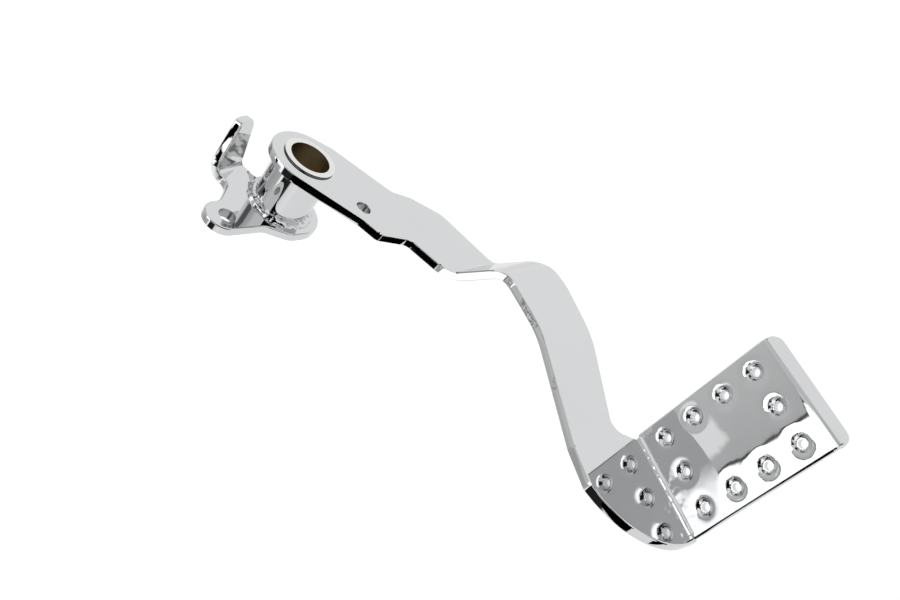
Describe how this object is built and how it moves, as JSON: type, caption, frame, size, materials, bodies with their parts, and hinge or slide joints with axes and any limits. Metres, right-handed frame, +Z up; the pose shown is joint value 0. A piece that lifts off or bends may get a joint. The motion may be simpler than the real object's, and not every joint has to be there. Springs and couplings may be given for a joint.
{
  "type": "motorcycle brake pedal",
  "caption": "Chromed foot brake pedal for a motorcycle: joggled steel arm, bushed pivot tube, folded rod lever and a foot pad with dimpled holes.",
  "frame": {"origin": "on the pivot axis, in the plane of the arm's outer face", "axes": "+Y along the pivot axis, to the side that the foot pad reaches (outboard); +X from the pivot towards the foot pad (forward); +Z up, the side of the tread"},
  "size_m": [0.2602, 0.121, 0.1358],
  "materials": {
    "arm": "polished chrome plate over flame-cut steel bar",
    "pivot_tube": "chrome plate over turned steel tube",
    "outer_bush": "oiled sintered bronze, dull",
    "inner_bush": "oiled sintered bronze, dull",
    "rod_lever": "polished chrome plate over cut and folded steel plate",
    "foot_pad": "polished chrome plate over pressed steel sheet",
    "weld": "chrome plate over a rippled weld bead"
  },
  "bodies": {
    "root": {"arm": "arm", "pivot_tube": "pivot_tube", "outer_bush": "outer_bush", "inner_bush": "inner_bush", "rod_lever": "rod_lever", "foot_pad": "foot_pad", "lever_weld": "weld", "arm_weld": "weld", "pad_weld": "weld"}
  },
  "joints": []
}
